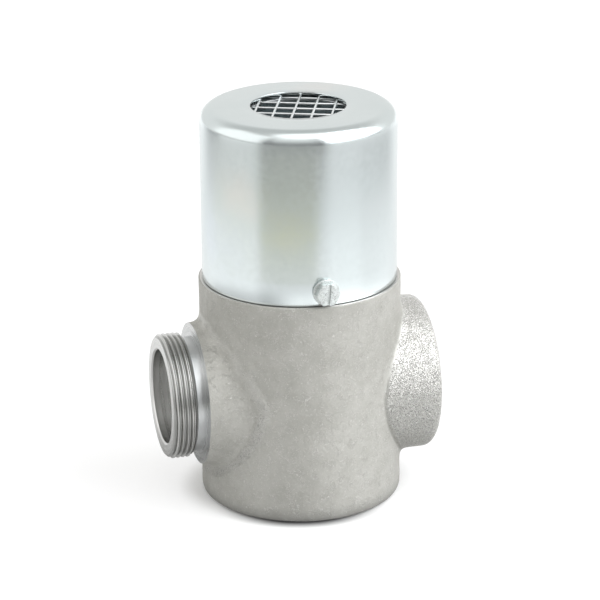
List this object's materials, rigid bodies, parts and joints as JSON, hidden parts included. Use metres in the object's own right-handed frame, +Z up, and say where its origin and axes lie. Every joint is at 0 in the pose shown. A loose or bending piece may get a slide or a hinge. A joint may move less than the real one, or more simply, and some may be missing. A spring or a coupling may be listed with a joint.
{
  "type": "steam trap",
  "caption": "In-line float steam trap: cast bowl with a male-threaded inlet and a tapped outlet, under a plated sheet-steel hood with a meshed vent hole.",
  "frame": {"origin": "middle of the foot that the bowl stands on, on the bowl's upright axis", "axes": "+Z up along the bowl's axis, +X towards the outlet hub along the port axis, -Y the side of the hood bolt"},
  "size_m": [0.1289, 0.1001, 0.1915],
  "materials": {
    "casting": "blasted casting, machined at the inlet",
    "zinc_plated_sheet": "zinc plated, blue passivated",
    "plated_wire": "zinc plated",
    "plated_fasteners": "zinc plated",
    "bonnet_casting": "cast, phosphated grey, machined under the hood",
    "bronze": "machined",
    "stainless": "machined",
    "spring_steel": "dark, as hardened",
    "float_steel": "pressed, polished",
    "gasket": "fibre sheet"
  },
  "bodies": {
    "trap_body": {"body_casting": "casting", "bonnet_gasket": "gasket", "vent_bonnet": "bonnet_casting", "bonnet_screws": "plated_fasteners", "bonnet_screw_washers": "plated_fasteners", "vent_nozzle": "stainless", "bellows_carrier": "stainless", "carrier_circlip": "spring_steel", "bellows": "bronze", "bellows_base": "bronze", "bellows_nut": "stainless", "outlet_seat": "stainless", "outlet_seat_gasket": "gasket", "float_bracket": "stainless", "bracket_screws": "stainless", "pivot_pin": "stainless", "pivot_pin_clip": "spring_steel", "hood_bolt": "plated_fasteners", "hood_bolt_washer": "plated_fasteners"},
    "float_lever": {"lever": "stainless", "valve_head": "stainless", "valve_head_nut": "stainless", "float_screw": "stainless", "float_boss": "stainless", "float_front_shell": "float_steel", "float_back_shell": "float_steel", "float_weld_band": "float_steel"},
    "vent_valve": {"vent_valve": "stainless"},
    "hood": {"hood_shell": "zinc_plated_sheet", "mesh_long_wires": "plated_wire", "mesh_cross_wires": "plated_wire", "mesh_ring": "plated_wire"}
  },
  "joints": [
    {"name": "hood_lift", "type": "slide", "parent": "trap_body", "child": "hood", "axis": [0, 0, 1], "range_m": [0, 0.065]},
    {"name": "vent_valve_stroke", "type": "slide", "parent": "trap_body", "child": "vent_valve", "axis": [0, 0, 1], "range_m": [0, 0.003], "stiffness_N_per_m": 2000, "deforming": ["bellows"]},
    {"name": "float_swing", "type": "hinge", "parent": "trap_body", "child": "float_lever", "pos_m": [0.01452, 0, 0.04], "axis": [0, 1, 0], "range_deg": [0, 20]}
  ]
}
